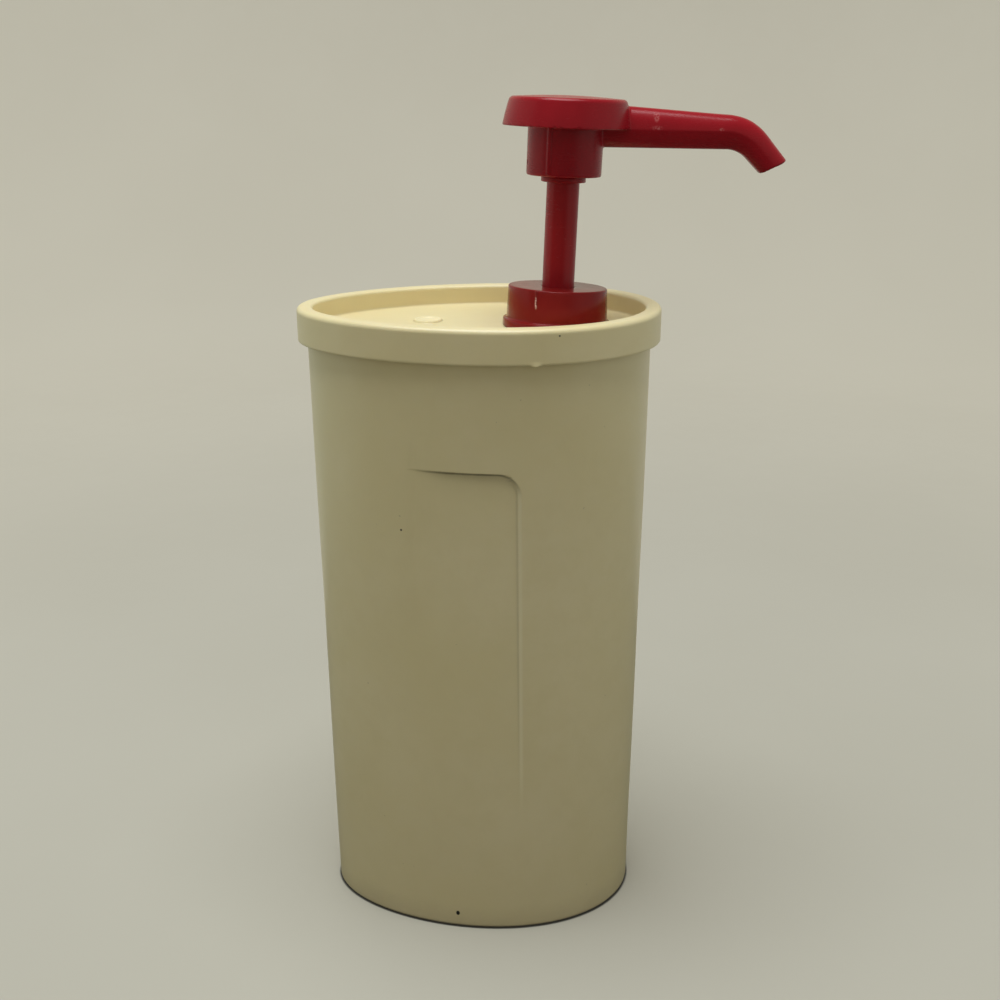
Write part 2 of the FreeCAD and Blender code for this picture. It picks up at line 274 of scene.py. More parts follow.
def ivory(name, tone, vessel, marks, gloss):
    """Aged ivory polyethylene: faint mottling, handling marks, fine scratches; on the vessel also painted shade low
    down, in the panel's step and at the foot, and a painted highlight along the step's edge.
    """
    k = Nodes(name)
    deep = tuple(c * s for c, s in zip(tone, (0.965, 0.955, 0.90))) + (1,)
    pale = tuple(min(1, c * s) for c, s in zip(tone, (1.02, 1.02, 1.05))) + (1,)
    cloud = k.ramp(k.noise(7.0, 4.0, 0.6, shift=(1.3, 0.2, 4.1)), 0.32, 0.70)
    colour = k.mix(cloud, deep, pale)
    mottle = k.ramp(k.noise(95.0, 5.0, 0.62, shift=(3.1, 7.7, 0.4)), 0.35, 0.72, 0.0, 0.35)
    colour = k.mix(mottle, colour, tuple(c * s for c, s in zip(tone, (0.94, 0.925, 0.87))) + (1,))
    # grime that settles in faint smears
    smear = k.noise(16.0, 6.0, 0.7, stretch=(1, 1, 0.28), shift=(9.0, 2.0, 5.0), distort=0.6)
    smear = k.ramp(smear, 0.56, 0.80, 0.0, 0.22)
    colour = k.mix(smear, colour, tuple(c * s for c, s in zip(tone, (0.80, 0.76, 0.66))) + (1,))
    if vessel:
        z = k.axis("Z")
        # painted shade: darker over the lowest 160 mm, and a greyer painted shade with a ragged edge in the lowest 22
        # mm
        painted_low_shade = k.ramp(z, 0.0, 0.16, 0.30, 0.0)
        colour = k.mix(painted_low_shade, colour, tuple(c * s for c, s in zip(tone, (0.78, 0.75, 0.70))) + (1,))
        low = k.ramp(k.math("ADD", z, k.math("MULTIPLY", k.noise(60.0, 4.0, 0.6), 0.012)), 0.004, 0.022, 0.5, 0.0)
        colour = k.mix(low, colour, tuple(c * s for c, s in zip(tone, (0.66, 0.63, 0.63))) + (1,))
        # painted contact shadow: a nearly black band in the lowest two millimetres of the foot
        painted_band = k.ramp(z, 0.0004, 0.0020, 0.85, 0.0)
        colour = k.mix(painted_band, colour, (0.07, 0.058, 0.040, 1))
        # painted shade under the panel's ledge and in the corner of its step, broken up by noise
        step_shade_mix = k.math("MULTIPLY", k.attribute("grime"), k.ramp(k.noise(240.0, 4.0, 0.6, shift=(2.0, 2.0, 7.0)), 0.25, 0.60, 0.82, 1.0))
        colour = k.mix(step_shade_mix, colour, (0.085, 0.068, 0.040, 1))
        # painted highlight: a pale band along the step's upright edge
        colour = k.mix(k.attribute("worn_edge"), colour, (0.95, 0.885, 0.64, 1))
    fleck = k.ramp(k.noise(420.0, 2.0, 0.5, shift=(5.0, 1.0, 2.0)), 0.775, 0.80, 0.0, 0.35)
    colour = k.mix(fleck, colour, (0.25, 0.20, 0.12, 1))
    for at, r0, r1, stretch, turn, dark in marks:
        colour = k.mix(k.math("MULTIPLY", k.spot(at, r0, r1, stretch, turn), dark[3]), colour, dark[:3] + (1,))
    k.link(colour, k.bsdf.inputs["Base Color"])
    # fine scratches and handling polish in the gloss
    fine = k.noise(55.0, 6.0, 0.75, stretch=(1, 1, 14), shift=(2.0, 3.0, 1.0))
    across = k.noise(60.0, 6.0, 0.75, stretch=(9, 9, 1), shift=(4.0, 1.0, 8.0))
    worn = k.math("ADD", k.ramp(fine, 0.45, 0.75, 0.0, 0.08), k.ramp(across, 0.50, 0.75, 0.0, 0.06))
    hand = k.ramp(k.noise(11.0, 3.0, 0.5, shift=(0.0, 6.0, 2.0)), 0.35, 0.70, gloss, gloss + 0.08)
    k.link(k.math("ADD", hand, worn), k.bsdf.inputs["Roughness"])
    k.bsdf.inputs["IOR"].default_value = 1.50
    k.bsdf.inputs["Subsurface Weight"].default_value = 0.10
    k.bsdf.inputs["Subsurface Radius"].default_value = (1.0, 0.75, 0.40)
    k.bsdf.inputs["Subsurface Scale"].default_value = 0.002
    ripple = k.noise(34.0, 3.0, 0.5, shift=(8.0, 8.0, 1.0))
    grain = k.noise(900.0, 3.0, 0.6)
    n0 = k.bump(ripple, 0.00012)
    n1 = k.bump(fine, 0.000012, normal=n0)
    k.link(k.bump(grain, 0.000012, normal=n1), k.bsdf.inputs["Normal"])
    return k.mat


def crimson(name, tone, gloss, scuffs_and_glint, wear=0.25, contact_shade=False):
    """Glossy crimson moulding: deep colour, chalky scuff marks, painted glints, fine hairlines, and on request a
    painted contact shadow at the foot.
    """
    k = Nodes(name)
    deep = tuple(c * s for c, s in zip(tone, (0.90, 0.80, 0.85))) + (1,)
    warm = tuple(c * s for c, s in zip(tone, (1.05, 1.25, 1.10))) + (1,)
    cloud = k.ramp(k.noise(30.0, 4.0, 0.6, shift=(2.3, 5.2, 1.1)), 0.32, 0.70)
    colour = k.mix(cloud, deep, warm)
    chalk = (0.52, 0.13, 0.12, 1)
    haze = k.ramp(k.noise(140.0, 6.0, 0.7, shift=(7.0, 1.0, 3.0), distort=0.8), 0.60, 0.82, 0.0, wear)
    colour = k.mix(haze, colour, chalk)
    fleck = k.ramp(k.noise(520.0, 2.0, 0.5, shift=(5.0, 4.0, 2.0)), 0.74, 0.78, 0.0, 0.5)
    colour = k.mix(fleck, colour, (0.12, 0.006, 0.008, 1))
    rough_add = k.math("MULTIPLY", haze, 0.5)
    for at, r0, r1, stretch, turn, paint in scuffs_and_glint:
        m = k.spot(at, r0, r1, stretch, turn)
        m = k.math("MULTIPLY", m, k.ramp(k.noise(1100.0, 3.0, 0.6, shift=(1.0, 2.0, 3.0)), 0.44, 0.56, 0.05, 1.0))
        m = k.math("MULTIPLY", m, paint[3])
        colour = k.mix(m, colour, paint[:3] + (1,))
        rough_add = k.math("ADD", rough_add, k.math("MULTIPLY", m, 0.35))
    if contact_shade:
        # painted contact shadow: a dark line where the flange sits on the lid
        low = k.ramp(k.axis("Z"), (FLOOR_Z + 0.35) * MM, (FLOOR_Z + 0.85) * MM, 0.85, 0.0)
        colour = k.mix(low, colour, (0.016, 0.006, 0.004, 1))
    k.link(colour, k.bsdf.inputs["Base Color"])
    fine = k.noise(130.0, 6.0, 0.75, stretch=(1, 1, 6), shift=(2.0, 3.0, 1.0))
    across = k.noise(160.0, 6.0, 0.75, stretch=(2, 4, 4), shift=(4.0, 1.0, 8.0))
    worn = k.math("ADD", k.ramp(fine, 0.45, 0.75, 0.0, 0.06), k.ramp(across, 0.50, 0.75, 0.0, 0.06))
    hand = k.ramp(k.noise(40.0, 3.0, 0.5, shift=(0.0, 6.0, 2.0)), 0.35, 0.70, gloss, gloss + 0.07)
    k.link(k.math("ADD", k.math("ADD", hand, worn), rough_add), k.bsdf.inputs["Roughness"])
    k.bsdf.inputs["IOR"].default_value = 1.46
    k.bsdf.inputs["Specular IOR Level"].default_value = 0.25
    ripple = k.noise(70.0, 3.0, 0.5, shift=(8.0, 8.0, 1.0))
    n0 = k.bump(ripple, 0.00005)
    n1 = k.bump(across, 0.000005, normal=n0)
    k.link(k.bump(fine, 0.000005, normal=n1), k.bsdf.inputs["Normal"])
    return k.mat


BLACK = (0.010, 0.009, 0.007, 1.0)
IVORY = (0.805, 0.703, 0.428)
IVORY_LID = (0.85, 0.738, 0.445)
RED_HEAD, RED_ROD, RED_COLLAR = (0.332, 0.0062, 0.0140), (0.325, 0.0105, 0.0155), (0.222, 0.0085, 0.0080)

vessel_mat = ivory("ivory_vessel", IVORY, True, [
    ((-12.7, -49.9, 8.2), 0.95, 1.25, (1.15, 1, 0.85), (0, 0.5, 0), BLACK),
    ((-36.5, -44.8, 216.7), 0.38, 0.62, (1, 1, 1), (0, 0, 0), (0.05, 0.035, 0.02, 1.0)),
    ((-37.0, -44.8, 223.5), 0.2, 0.7, (1, 1, 2), (0, 0, 0), (0.30, 0.24, 0.14, 0.6)),
], 0.28)
lid_mat = ivory("ivory_lid", IVORY_LID, False, [
    ((34.3, -54.7, 308.9), 0.35, 0.55, (1, 1, 1), (0, 0, 0), BLACK),
    # painted shade: a dark ring round the moulding mark on the floor, set a little towards the back; inside it a
    # slightly paler disc
    ((GATE_X, GATE_Y + 0.45, FLOOR_Z), 6.9, 7.5, (1, 1, 1), (0, 0, 0), (0.46, 0.37, 0.19, 0.6)),
    ((GATE_X, GATE_Y, FLOOR_Z), 6.3, 6.8, (1, 1, 1), (0, 0, 0), (0.88, 0.77, 0.47, 1.0)),
], 0.30)
collar_mat = crimson("red_collar", RED_COLLAR, 0.13, [
    # painted highlight: a pale streak down the moulded nib
    (tuple(on_collar((-10.6, -21.2, 12.2))), 0.40, 0.90, (1, 1, 0.21), (0, 0, 0), (0.95, 0.66, 0.62, 0.95)),
], wear=0.08, contact_shade=True)
rod_mat = crimson("red_rod", RED_ROD, 0.20, [], wear=0.08)
head_mat = crimson("red_head", RED_HEAD, 0.22, [
    (tuple(on_pump((39.6, -6.2, 94.8))), 0.5, 2.2, (1.2, 0.5, 0.7), (0, 0, 0), (0.62, 0.20, 0.19, 0.75)),
    (tuple(on_pump((40.0, -7.0, 89.8))), 0.4, 2.0, (0.6, 0.5, 1.6), (0, 0, 0), (0.60, 0.18, 0.18, 0.6)),
    (tuple(on_pump((68.9, -6.9, 90.2))), 0.4, 1.3, (1, 0.5, 1.6), (0, 0, 0), (0.62, 0.24, 0.22, 0.8)),
    (tuple(on_pump((-16.6, -2.6, 73.2))), 0.5, 0.9, (1, 1, 1), (0, 0, 0), (0.02, 0.002, 0.003, 0.9)),
], wear=0.12)


# --------------------------------------------------------------------- container
def make_container():
    def edge_x(z):
        return PANEL_X_TOP + (PANEL_X_LOW - PANEL_X_TOP) * (PANEL_TOP - np.clip(z, PANEL_LOW, PANEL_TOP)) / (PANEL_TOP - PANEL_LOW)

    def dims(z):
        q = z / SKIRT_Z
        return FOOT_A + (TOP_A - FOOT_A) * q, FOOT_B + (TOP_B - FOOT_B) * q, FOOT_SHIFT * (1 - q)

    def edge_t(z):
        a, b, ox = dims(z)
        return 2 * math.pi - np.arccos((edge_x(z) - ox) / a)

    t_ref = float(edge_t(PANEL_TOP))
    deg = math.radians(1)
    fine = t_ref + np.arange(-16, 17) * 0.16 * deg
    lo, hi = fine[0], fine[-1]
    mid_l = np.arange(math.radians(240), lo - 0.3 * deg, 0.75 * deg)
    mid_r = np.arange(hi + 0.4 * deg, hi + 12 * deg, 0.9 * deg)
    base = np.arange(0, 2 * math.pi, 1.6 * deg)
    base = base[(base < mid_l[0] - 0.8 * deg) | (base > mid_r[-1] + 0.8 * deg)]
    ts = np.sort(np.concatenate([base, mid_l, fine, mid_r]))
    pull = 1 - smooth(np.abs(ts - t_ref), 3.5 * deg, 30 * deg)

    zs = [z for _, z in quarter(FOOT_ROUND, 6)] + [3.0, 5.0]
    insets = [i for i, _ in quarter(FOOT_ROUND, 6)] + [0, 0]
    zs += list(np.arange(8, 236, 3.0)) + list(np.arange(236.2, 249.2, 0.28)) + list(np.arange(251, 299, 3.2)) + [UNDER_Z - 0.02]
    zs = np.array(zs)
    insets = np.array(insets + [0.0] * (len(zs) - len(insets)))

    c = Build()
    rings, grime, worn = [], [], []
    for z, ins in zip(zs, insets):
        a, b, ox = dims(z)
        t = ts + (float(edge_t(z)) - t_ref) * pull
        xy = egg(a - ins, b - ins, t, ox)
        # outward direction of the section
        dt = 1e-4
        d = egg(a, b, t + dt, ox) - egg(a, b, t - dt, ox)
        n = np.stack([d[:, 1], -d[:, 0]], -1)
        n /= np.linalg.norm(n, axis=1)[:, None]
        x = xy[:, 0]
        front = np.sin(t) < 0
        # recess: full at the ledge, running out downwards and to the left
        s = np.clip((x - PANEL_LEFT) / (PANEL_X_TOP - PANEL_LEFT), 0, 1)
        full = PANEL_DEPTH * np.sin(s * math.pi / 2) ** 1.15
        r = np.clip(-PANEL_PROUD + (full + PANEL_PROUD) * (z - PANEL_LOW) / (PANEL_TOP + 4 - PANEL_LOW), 0, None)
        # distance inside the outline: upright edge, level ledge, round corner
        # and the ledge drops a little to the right
        dx, dz = float(edge_x(z)) + 1.1 - x, PANEL_TOP + 0.7 - 0.020 * (x + 20) - z
        rc = PANEL_CORNER + 0.9
        cx, cz = rc - dx, rc - dz
        corner = (cx > 0) & (cz > 0)
        inside = np.where(corner, rc - np.hypot(np.maximum(cx, 0), np.maximum(cz, 0)), np.minimum(dx, dz))
        # the step: soft on top, crisp at its foot; the ledge is steeper than the upright edge
        level = np.where(corner, np.clip(cz / np.maximum(np.hypot(cx, cz), 1e-6), 0, 1) ** 2, (dz < dx) * 1.0)
        width = 2.1 - 1.2 * level
        q = np.clip(inside / width, 0, 1)
        step = q ** 1.35
        depth = np.where(front, r * step, 0.0)
        # painted shade in the step: under the ledge it fades downwards, along the upright edge it is a faint line
        line = (0.13 * np.exp(-((inside - 2.35) / 0.5) ** 2)
                + 0.05 * np.exp(-np.maximum(inside - 2.3, 0) / 1.6) * (inside > 1.9)) * (1 - level)
        roof = (smooth(inside, 0.1, 0.5) * (1 - smooth(inside, 0.9, 1.6)) * 0.50
                + 0.22 * np.exp(-np.maximum(inside - 1.0, 0) / 3.5) * (inside > 0.1)) * level
        grime.append(np.where(front, np.clip(line + roof, 0, 1) * smooth(r, 0.05, 0.8), 0.0))
        # painted highlight: a pale band just inside the upright edge of the step
        painted_band = np.exp(-(np.abs(inside - 1.15) / 0.85) ** 3) * (1 - level) ** 2
        worn.append(np.where(front, 0.34 * painted_band * smooth(r, 0.01, 0.30), 0.0))
        # slow moulding waves of the wall, a tenth of a millimetre
        wave = (0.07 * np.sin(3 * t + 0.021 * z + 0.7) + 0.05 * np.sin(7 * t - 0.034 * z + 2.1)
                + 0.04 * np.sin(0.05 * z + 2 * t)) * smooth(z, 4, 40) * (1 - smooth(z, 270, 296))
        xy = xy - n * (depth + 0.12 + wave)[:, None] if ins == 0 else xy - n * 0.12
        rings.append(c.add(np.column_stack([xy, np.full(len(ts), z)])))
    for a, b in zip(rings, rings[1:]):
        c.strip(a, b)
    # foot: a flat band to stand on, then a shallow plain hollow
    v = np.concatenate(c.v)
    foot = v[rings[0]][:, :2]
    centre = np.array([0.6, 0.0])
    prev = rings[0]
    for k, z in ((0.93, 0.0), (0.915, 0.12), (0.90, 0.42), (0.885, 0.55)):
        ring = c.add(np.column_stack([centre + (foot - centre) * k, np.full(len(ts), z)]))
        c.strip(ring, prev)
        prev = ring
    inner = circle(48, 9.0, 0.6, 0)
    gate = c.add(np.column_stack([inner, np.full(48, 0.55)]))
    c.cap([prev, gate], False, keep=lambda x, y: math.hypot(x - 0.6, y) > 8.99)
    ring2 = c.add(np.column_stack([circle(48, 8.4, 0.6, 0), np.full(48, 0.95)]))
    c.strip(ring2, gate)
    ring3 = c.add(np.column_stack([circle(48, 1.6, 0.6, 0), np.full(48, 0.95)]))
    c.strip(ring3, ring2)
    ring4 = c.add(np.column_stack([circle(48, 1.3, 0.6, 0), np.full(48, 0.5)]))
    c.strip(ring4, ring3)
    mid = c.add([[0.6, 0, 0.45]])
    c.fan(ring4, mid[0], False)
    # top under the lid, with the well for the rod
    t = 2 * math.pi * np.arange(72) / 72
    top_z = UNDER_Z - 0.02

    def well(h):
        return on_pump(np.column_stack([WELL_R * np.cos(t), WELL_R * np.sin(t), np.full(72, h)]))
    mouth = well(0.0)
    k = (top_z - mouth[:, 2]) / AXIS[2]
    mouth = mouth + AXIS * k[:, None]
    rim = c.add(mouth)
    mx, my = mouth[:, 0].mean(), mouth[:, 1].mean()
    c.cap([rings[-1], rim], True, keep=lambda x, y: math.hypot(x - mx, y - my) > WELL_R * 0.999)
    low = c.add(well(ROD_FOOT - STROKE - 2.5))
    c.strip(rim, low)
    end = c.add([on_pump([[0, 0, ROD_FOOT - STROKE - 2.5]])[0]])
    c.fan(low, end[0], True)
    rest = np.zeros(c.n - sum(len(g) for g in grime))
    c.grime, c.worn = np.concatenate(grime + [rest]), np.concatenate(worn + [rest])
    return c


def flip_strip(build, a, b):
    build.strip(b, a)


# --------------------------------------------------------------------------- lid
def make_lid():
    n = 600
    t = 2 * math.pi * np.arange(n) / n
    c = Build()
    rows = []          # (inset from the outside, z), walking from the underside outwards and over
    rows += [(SKIRT_T, UNDER_Z), (SKIRT_T, UNDER_Z - 1.4), (SKIRT_T, SKIRT_Z + 0.5)]
    rows += [(SKIRT_T - i, SKIRT_Z + z) for i, z in reversed([(0.5 - a, b) for a, b in quarter(0.5, 3)])][1:]
    rows = [(SKIRT_T, UNDER_Z), (SKIRT_T, SKIRT_Z + 0.45), (SKIRT_T - 0.13, SKIRT_Z + 0.13), (SKIRT_T - 0.45, SKIRT_Z)]
    rows += [(0.55, SKIRT_Z), (0.18, SKIRT_Z + 0.12), (0.0, SKIRT_Z + 0.5)]
    rows += [(0.0, z) for z in np.linspace(SKIRT_Z + 1.2, LID_TOP - RIM_ROUND_OUT - 0.4, 11)]
    rows += [(i, LID_TOP - z) for i, z in reversed(quarter(RIM_ROUND_OUT, 8))]
    rows += [(RIM_W - RIM_ROUND_IN - 1.6, LID_TOP)]
    rows += [(RIM_W - i, LID_TOP - z) for i, z in quarter(RIM_ROUND_IN, 6)]
    fil = 0.9
    rows += [(RIM_W, z) for z in np.linspace(LID_TOP - RIM_ROUND_IN - 1.2, FLOOR_Z + fil + 0.4, 4)]
    rows += [(RIM_W + fil * (1 - math.cos(a)), FLOOR_Z + fil * (1 - math.sin(a))) for a in np.linspace(0, math.pi / 2, 5)]
    rings = []
    for inset, z in rows:
        xy = egg(LID_A - inset, LID_B - inset, t)
        zz = np.full(n, z)
        if z > UNDER_Z - 3.5 or inset < 1:
            # a slow warp of the rim, a tenth of a millimetre up and down
            zz = zz + 0.10 * np.sin(2 * t + 0.6) * smooth(z, FLOOR_Z + 1, LID_TOP)
        if inset < 1.0:
            d = np.stack([LID_A * np.cos(t) / LID_A ** 2, np.sin(t) / LID_B], -1)
            d /= np.linalg.norm(d, axis=1)[:, None]
            # a small lip of flash on the lower edge at the front
            lip = np.exp(-((xy[:, 0] - 24.1) / 1.9) ** 4) * (xy[:, 1] < 0)
            drop = (1 - smooth(z, SKIRT_Z, SKIRT_Z + 1.3))
            xy = xy + d * (0.55 * lip * drop)[:, None]
            zz = zz - 0.45 * lip * drop
            xy = xy + d * (0.05 * np.sin(5 * t + 1.0) + 0.04 * np.sin(9 * t))[:, None]
        rings.append(c.add(np.column_stack([xy, zz])))
    for a, b in zip(rings, rings[1:]):
        c.strip(a, b)
    # floor, slightly uneven, with the moulding mark and the hole for the rod
    well_c = on_pump([[0, 0, 0]])[0]
    tw = 2 * math.pi * np.arange(72) / 72

    def well(z):
        h = (z - well_c[2]) / AXIS[2]
        p = on_pump(np.column_stack([WELL_R * np.cos(tw), WELL_R * np.sin(tw), np.zeros(72)]))
        return p + AXIS * ((z - p[:, 2]) / AXIS[2])[:, None]
    hole = c.add(well(FLOOR_Z))
    pts = []
    for r in (0.0, 1.6, 3.2, 4.5, 4.9, 5.2, 5.6, 6.0, 6.3, 6.55, 6.75, 7.2, 8.4):
        k = 1 if r == 0 else 56
        pts += [(GATE_X + r * math.cos(2 * math.pi * i / k), GATE_Y + r * math.sin(2 * math.pi * i / k)) for i in range(k)]
    a_in, b_in = LID_A - RIM_W - 2.5, LID_B - RIM_W - 2.5
    for gx in np.arange(-75, 76, 3.6):
        for gy in np.arange(-52, 52, 3.6):
            x, y = gx + RNG.uniform(-0.8, 0.8), gy + RNG.uniform(-0.8, 0.8)
            if math.hypot(x - GATE_X, y - GATE_Y) < 9.6 or math.hypot(x - well_c[0], y - well_c[1]) < WELL_R + 2:
                continue
            ct = x / a_in
            if abs(ct) < 1 and abs(y) < b_in * math.sqrt(1 - ct * ct) * (1 + EGG * ct) - 1.0:
                pts.append((x, y))
    pts = np.array(pts)
    r = np.hypot(pts[:, 0] - GATE_X, pts[:, 1] - GATE_Y)
    ring_h = (GATE_H * 1.5 * smooth(r, 4.8, 5.5) * (1 - smooth(r, 6.25, 6.75)) + 0.16 * (1 - smooth(r, 4.7, 5.5))
              - 0.35 * np.exp(-((r - 7.1) / 0.35) ** 2))
    edge = 1 - np.hypot(pts[:, 0] / a_in, pts[:, 1] / b_in)
    warp = (0.16 * np.sin(0.05 * pts[:, 0] + 0.4) * np.cos(0.07 * pts[:, 1])) * smooth(edge, 0.03, 0.3)
    near = smooth(np.hypot(pts[:, 0] - well_c[0], pts[:, 1] - well_c[1]), 26, 36)
    mid = c.add(np.column_stack([pts, FLOOR_Z + ring_h + warp * near]))
    c.cap([rings[-1], hole], True, inside=mid, keep=lambda x, y: math.hypot(x - well_c[0], y - well_c[1]) > WELL_R * 0.995)
    low = well(UNDER_Z)
    lx, ly = low[:, 0].mean(), low[:, 1].mean()
    under = c.add(low)
    c.strip(hole, under)
    c.cap([rings[0], under], False, keep=lambda x, y: math.hypot(x - lx, y - ly) > WELL_R * 0.995)
    return c


# ------------------------------------------------------------------------ collar
NIB_AT = math.radians(-118.3)


def make_collar():
    deg = math.radians(1)
    fine = NIB_AT + np.arange(-12, 13) * 0.34 * deg
    base = np.arange(0, 360, 1.8) * deg - math.pi
    base = base[np.abs(base - NIB_AT) > 4.9 * deg]
    t = np.sort(np.concatenate([base, fine]))
    n = len(t)
    off = (t - NIB_AT) / deg          # degrees from the moulded nib
    c = Build()
    cos, sin = np.cos(t), np.sin(t)

    def lean(h, r, x, extra=0.0):
        rr = r + extra
        return on_collar(np.column_stack([x + rr * cos, rr * sin, np.full(n, h)]))

    def grounded(p):
        """Cut the foot flat on the lid's floor."""
        k = (FLOOR_Z - p[:, 2]) / COLLAR_TURN[2][2]
        return p + COLLAR_TURN[2] * np.maximum(k, 0)[:, None]

    def rod_hole(r, h):
        """Ring round the stem's own axis, in the plane at height h of the collar."""
        p = on_pump(np.column_stack([r * cos, r * sin, np.zeros(n)]))
        k = ((on_collar([[0, 0, h]])[0] - p) @ COLLAR_TURN[2]) / (AXIS @ COLLAR_TURN[2])
        return p + AXIS * k[:, None]
    rings = []
    # underside, out along the flange, up the shoulder and the wall
    hole_r = ROD_R + ROD_CLEAR
    p = on_pump(np.column_stack([hole_r * cos, hole_r * sin, np.zeros(n)]))
    p = p + AXIS * ((FLOOR_Z - p[:, 2]) / AXIS[2])[:, None]
    first = c.add(p)
    rings.append(first)
    foot = lean(0, COLLAR_FLANGE_R - 0.35, COLLAR_LOW_X)
    k = (FLOOR_Z - foot[:, 2]) / COLLAR_TURN[2][2]
    rings.append(c.add(foot + COLLAR_TURN[2] * k[:, None]))
    foot = lean(0, COLLAR_FLANGE_R, COLLAR_LOW_X)
    k = (FLOOR_Z + 0.35 - foot[:, 2]) / COLLAR_TURN[2][2]
    rings.append(c.add(foot + COLLAR_TURN[2] * k[:, None]))
    for h, r in ((1.95, COLLAR_FLANGE_R), (2.28, COLLAR_FLANGE_R - 0.14), (2.44, COLLAR_FLANGE_R - 0.38),
                 (2.50, COLLAR_FLANGE_R - 0.72), (2.56, COLLAR_FLANGE_R - 1.0)):
        rings.append(c.add(lean(h, r, COLLAR_LOW_X)))
    # concave shoulder
    for a in np.linspace(0.25, 1.0, 5):
        g = a * math.pi / 2
        rings.append(c.add(lean(2.56 + 1.3 * (1 - math.cos(g)), COLLAR_LOW_R + 0.55 - 0.55 * math.sin(g), COLLAR_LOW_X)))
    top_h = COLLAR_H - 0.75
    for s in np.linspace(0, 1, 15):
        h = 4.2 + (top_h - 4.2) * s
        # moulded nib: a short upright ridge that fades downwards
        ridge = 0.62 * np.exp(-(off / 1.0) ** 2) * smooth(h, 8.2, 11.5)
        wob = 0.03 * np.sin(4 * t + 1.2 + 0.3 * s)
        rings.append(c.add(lean(h, COLLAR_LOW_R + (COLLAR_TOP_R - COLLAR_LOW_R) * s,
                                COLLAR_LOW_X + (COLLAR_TOP_X - COLLAR_LOW_X) * s, ridge + wob)))
    rr = 0.75
    for a in np.linspace(0, math.pi / 2, 6)[1:]:
        ridge = 0.62 * np.exp(-(off / 1.0) ** 2) * math.cos(a)
        rings.append(c.add(lean(top_h + rr * math.sin(a), COLLAR_TOP_R - rr * (1 - math.cos(a)), COLLAR_TOP_X, ridge)))
    outer = COLLAR_TOP_R - rr
    for r, dh in ((20.9, 0.02), (18.0, 0.02), (15.0, 0.0), (11.5, 0.0), (9.4, 0.0), (hole_r + 0.55, 0.0), (hole_r + 0.16, -0.14), (hole_r, -0.5)):
        s = (outer - r) / (outer - hole_r)
        a, b = lean(COLLAR_H + dh, r, COLLAR_TOP_X), rod_hole(r, COLLAR_H + dh)
        rings.append(c.add(a + (b - a) * s))
    for a, b in zip(rings, rings[1:]):
        c.strip(a, b)
    c.strip(rings[-1], first)
    return c


# --------------------------------------------------------------------------- rod
def make_rod():
    n = 112
    t = 2 * math.pi * np.arange(n) / n
    c = Build()
    prof = [(ROD_R - 0.6, ROD_FOOT), (ROD_R - 0.18, ROD_FOOT + 0.18), (ROD_R, ROD_FOOT + 0.6)]
    prof += [(ROD_R, h) for h in np.linspace(-4, STOP_LOW - 1.0, 16)]
    prof += [(ROD_R, STOP_LOW - 0.4), (ROD_R + 0.12, STOP_LOW - 0.12), (ROD_R + 0.4, STOP_LOW)]
    prof += [(STOP_R - 0.3, STOP_LOW), (STOP_R - 0.09, STOP_LOW + 0.09), (STOP_R, STOP_LOW + 0.3),
             (STOP_R, STOP_HIGH - 0.3), (STOP_R - 0.09, STOP_HIGH - 0.09), (STOP_R - 0.3, STOP_HIGH),
             (SPIGOT_R + 0.3, STOP_HIGH), (SPIGOT_R, STOP_HIGH + 0.3), (SPIGOT_R, SPIGOT_TOP - 0.6),
             (SPIGOT_R - 0.18, SPIGOT_TOP - 0.18), (SPIGOT_R - 0.6, SPIGOT_TOP)]
    rings = []
    for r, h in prof:
        rings.append(c.add(on_pump(np.column_stack([r * np.cos(t), r * np.sin(t), np.full(n, h)]))))
    for a, b in zip(rings, rings[1:]):
        c.strip(a, b)
    lo = c.add([on_pump([[0, 0, ROD_FOOT]])[0]])
    c.fan(rings[0], lo[0], False)
    hi = c.add([on_pump([[0, 0, SPIGOT_TOP]])[0]])
    c.fan(rings[-1], hi[0], True)
    return c


# -------------------------------------------------------------------------- head
RIB_AT = math.radians(-117.5)
HUB_R_LOW, HUB_R_TOP, HUB_LOW = 17.0, 17.1, 67.5
RIB_W, RIB_OUT = 1.9, 0.55
BUTTON_LOW, BUTTON_R_LOW, BUTTON_EDGE, BUTTON_R_TOP = 88.7, 28.65, 101.2, 26.15
BUTTON_SHIFT, BUTTON_ROUND, BUTTON_CROWN = 0.47, 1.4, 1.0
ARM_H, ARM_DROOP, ARM_START, ARM_BEND = 90.18, math.radians(0.8), 6.0, 71.7
BEND_R, BEND_G = 21.25, math.radians(44.4)
TIP_RUN, TIP_HALF, TIP_CUT = 11.4, 6.28, math.radians(15.5)
BORE_R = 4.2
TIP_U, TIP_H = ARM_BEND + BEND_R * math.sin(BEND_G), ARM_H - BEND_R * (1 - math.cos(BEND_G))


def both(a, b, r):
    """What two shapes share, with its edge rounded to r."""
    return np.minimum(np.maximum(a + r, b + r), 0) + np.hypot(np.maximum(a + r, 0), np.maximum(b + r, 0)) - r


def join(a, b, r):
    """Two shapes together, with a hollow fillet of radius r between them."""
    return np.maximum(np.minimum(a - r, b - r), 0) - np.hypot(np.minimum(a - r, 0), np.minimum(b - r, 0)) + r


def arm_path(u, h):
    """Distance along the arm's centre line and height above it."""
    g = np.arctan2(u - ARM_BEND, h - (ARM_H - BEND_R))
    along = (u - TIP_U) * math.cos(BEND_G) - (h - TIP_H) * math.sin(BEND_G)
    over = (u - TIP_U) * math.sin(BEND_G) + (h - TIP_H) * math.cos(BEND_G)
    straight, bend = u <= ARM_BEND, (u > ARM_BEND) & (g < BEND_G)
    s = np.where(straight, u, np.where(bend, ARM_BEND + g * BEND_R, ARM_BEND + BEND_G * BEND_R + along))
    q = np.where(straight, h - ARM_H, np.where(bend, np.hypot(u - ARM_BEND, h - ARM_H + BEND_R) - BEND_R, over))
    return s, q


